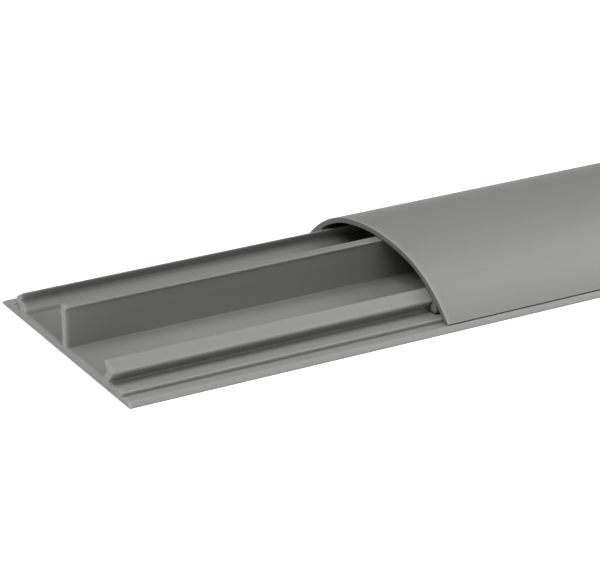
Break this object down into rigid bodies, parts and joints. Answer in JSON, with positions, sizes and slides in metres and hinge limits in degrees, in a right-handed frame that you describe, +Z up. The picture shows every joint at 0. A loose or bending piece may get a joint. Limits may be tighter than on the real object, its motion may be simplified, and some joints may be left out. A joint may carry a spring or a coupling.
{
  "type": "floor cord cover",
  "caption": "Length of low floor cord cover: a flat base channel with hooked rails and a dividing wall, and an arched cover that snaps over the rails and slides along them.",
  "frame": {"origin": "on the underside of the base channel, halfway along it and midway between its edges", "axes": "+X along the length, towards the end that the cover overhangs; +Y across, away from the side that the dividing wall's lip points to; +Z up"},
  "size_m": [2.0912, 0.075, 0.0154],
  "materials": {
    "base_plastic": "grey extruded PVC, satin",
    "cover_plastic": "grey extruded PVC, satin"
  },
  "bodies": {
    "base": {"base_channel": "base_plastic"},
    "cover": {"snap_cover": "cover_plastic"}
  },
  "joints": [
    {"name": "cover_slide", "type": "slide", "parent": "base", "child": "cover", "axis": [1, 0, 0], "range_m": [-1.0912, 0.9088]}
  ]
}
